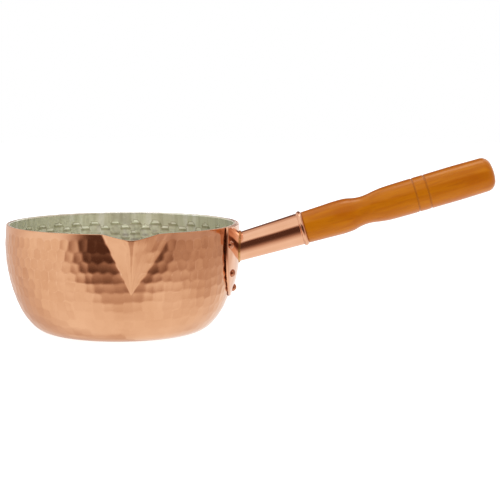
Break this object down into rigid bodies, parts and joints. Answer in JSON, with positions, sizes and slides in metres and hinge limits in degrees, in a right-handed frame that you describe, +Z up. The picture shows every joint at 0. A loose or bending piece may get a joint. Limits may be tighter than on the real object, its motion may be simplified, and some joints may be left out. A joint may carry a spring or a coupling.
{
  "type": "copper saucepan",
  "caption": "Hammered copper saucepan, tinned inside, with a pouring lip in its rim and a turned wooden handle in a riveted copper socket.",
  "frame": {"origin": "centre of the flat base, on the surface that the pan stands on", "axes": "+Z up, +X along the handle in plan, pouring lip on the -Y side"},
  "size_m": [0.3901, 0.196, 0.1383],
  "materials": {
    "hammered_copper": "hammered and polished copper",
    "polished_copper": "smooth polished copper",
    "rivet_copper": "hammered rivet heads of copper",
    "tin": "hot-wiped tin, dull grey-green",
    "brazing_brass": "yellow brazing filler, left as it flowed",
    "lacquered_wood": "amber lacquer over turned wood",
    "nail_brass": "small round head, dulled"
  },
  "bodies": {
    "root": {"pan_body": "hammered_copper", "tin_lining": "tin", "seat_plate": "polished_copper", "rivet_upper_near": "rivet_copper", "rivet_upper_far": "rivet_copper", "rivet_middle_near": "rivet_copper", "rivet_middle_far": "rivet_copper", "rivet_lower": "rivet_copper", "socket_tube": "polished_copper", "braze_fillet": "brazing_brass", "wooden_handle": "lacquered_wood", "handle_nail": "nail_brass"}
  },
  "joints": []
}
